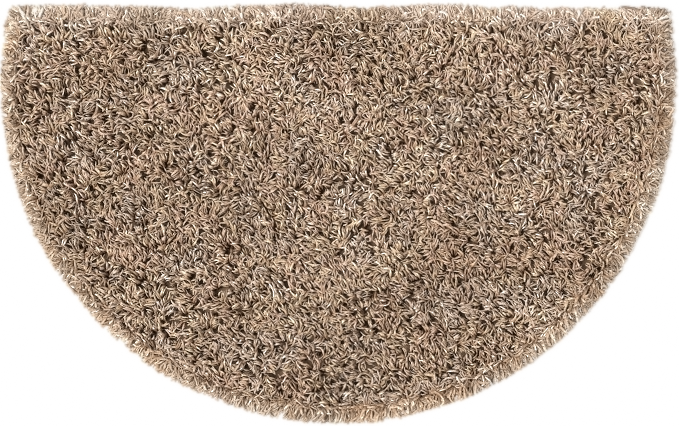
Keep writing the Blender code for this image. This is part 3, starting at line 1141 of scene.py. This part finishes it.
def unroll(mesh):
    """Lay every yarn out on the map, and note on its points where the plies run."""
    rings, sides = YARN_POINTS, PROFILE_SIDES
    count = len(mesh.vertices) // (rings * sides)
    columns = math.ceil(math.sqrt(count * FIELD_LENGTHS))
    rows = math.ceil(count / columns)
    point = np.empty(len(mesh.loops), dtype=np.int32)
    mesh.loops.foreach_get("vertex_index", point)
    corners = np.empty(len(mesh.polygons), dtype=np.int32)
    mesh.polygons.foreach_get("loop_total", corners)
    face = np.repeat(np.arange(len(corners)), corners)
    yarn, ring, around = point // (rings * sides), point // sides % rings, point % sides
    starts = np.cumsum(corners) - corners
    spread = np.maximum.reduceat(around, starts) - np.minimum.reduceat(around, starts)
    closing = (spread == sides - 1)[face] & (around == 0)
    wall = (corners == 4)[face]
    wall_u = STRIP_SIDE + (1 - 2 * STRIP_SIDE) * (around + sides * closing) / sides
    wall_v = STRIP_END + (1 - 2 * STRIP_END) * ring / (rings - 1)
    end_u = STRIP_SIDE + (1 - 2 * STRIP_SIDE) * around / (sides - 1)
    end_v = END_EDGE + END_SIZE * (around == 1)
    end_v = np.where(ring == 0, end_v, 1 - end_v)
    u = (yarn % columns + np.where(wall, wall_u, end_u)) / columns
    v = (yarn // columns + np.where(wall, wall_v, end_v)) / rows
    layer = mesh.uv_layers.new(name=MAP_NAME)
    layer.data.foreach_set("uv", np.column_stack([u, v]).ravel().astype(np.float32))
    turn = np.arange(len(mesh.vertices)) % sides / sides * PLIES * math.tau
    note_on(mesh, "ply", np.column_stack([np.cos(turn), np.sin(turn)]))
    spent = [note.name for note in mesh.attributes
             if note.domain == "POINT" and not note.is_required and not note.is_internal
             and note.name not in NOTES_FOR_THE_FINISH]
    for name in spent:
        mesh.attributes.remove(mesh.attributes[name])
    return count


print("map:", MAP_NAME)

# %% [markdown]
# The pile is planted in strips, so that no piece is too heavy. Every strip runs the same tree on
# the same bed with the same seed and keeps only its own part, so no seam shows between them. The
# end strips have a rim on three sides, so they are a little wider, and they take all that lies
# beyond the last cut.

# %% Plant the pile
STRIP_COUNT = 6
STRIP_CROWDING = 1.15


def set_input(modifier, name, value):
    """Set a tree's input by its socket's identifier."""
    sockets = modifier.node_group.interface.items_tree
    item = next(i for i in sockets if i.name == name and i.in_out == "INPUT")
    modifier[item.identifier] = value


def plant(name, from_x, to_x):
    """One strip of pile as a plain mesh."""
    strip = bpy.data.objects.new(name, bed_mesh)
    scene.collection.objects.link(strip)
    modifier = strip.modifiers.new("tufting", "NODES")
    modifier.node_group = TUFTING
    for label, value in (("From X", from_x), ("To X", to_x), ("Finish", YARN)):
        set_input(modifier, label, value)
    depsgraph = bpy.context.evaluated_depsgraph_get()
    mesh = bpy.data.meshes.new_from_object(
        strip.evaluated_get(depsgraph), preserve_all_data_layers=True, depsgraph=depsgraph)
    strip.modifiers.remove(modifier)
    strip.data = mesh
    mesh.name = name
    return strip


cuts = np.linspace(-1, 1, STRIP_COUNT + 1)
cuts = np.sign(cuts) * np.abs(cuts) ** STRIP_CROWDING * RUG_WIDTH / 2
cuts[0], cuts[-1] = TUFT_SIZES["From X"], TUFT_SIZES["To X"]
pile = []
for index in range(STRIP_COUNT):
    pile.append(plant(f"pile_{index + 1}", float(cuts[index]), float(cuts[index + 1])))
for strip in pile:
    yarns = unroll(strip.data)
    triangles = sum(len(p.vertices) - 2 for p in strip.data.polygons)
    print(strip.name, yarns, "yarns,", triangles, "triangles")

# %% [markdown]
# The floor is a white sweep of lit acrylic. It glows a little itself, because the photograph is
# so bright there that the rug's shadow is all but gone. It isn't part of the rug.

# %% Floor
FLOOR_SIZE = 60.0
FLOOR_DROP = 0.0002  # so that it and the cloth don't share a plane
SWEEP_WHITE = (0.93, 0.93, 0.93, 1.0)
SWEEP_ROUGHNESS = 0.9
SWEEP_GLOW = 0.40

half = FLOOR_SIZE / 2
floor_mesh = bpy.data.meshes.new("studio floor")
floor_mesh.from_pydata(
    [(-half, -half, 0), (half, -half, 0), (half, half, 0), (-half, half, 0)], [], [(0, 1, 2, 3)])
floor = bpy.data.objects.new("studio floor", floor_mesh)
floor.location.z = -FLOOR_DROP
scene.collection.objects.link(floor)
floor_finish, floor_tree, floor_shader = new_finish("white sweep")
floor_tree.feed(floor_shader, {
    "Base Color": SWEEP_WHITE, "Roughness": SWEEP_ROUGHNESS,
    "Emission Color": (1.0, 1.0, 1.0, 1.0), "Emission Strength": SWEEP_GLOW})
floor_mesh.materials.append(floor_finish)
print("floor:", FLOOR_SIZE, "m")

# %% [markdown]
# Each piece now says what it stands for.

# %% Pieces of the rug
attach(backing, "root")
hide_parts(RUG)
for strip in pile:
    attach(strip, "root")
    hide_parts(RUG)
print("pieces:", 1 + len(pile))
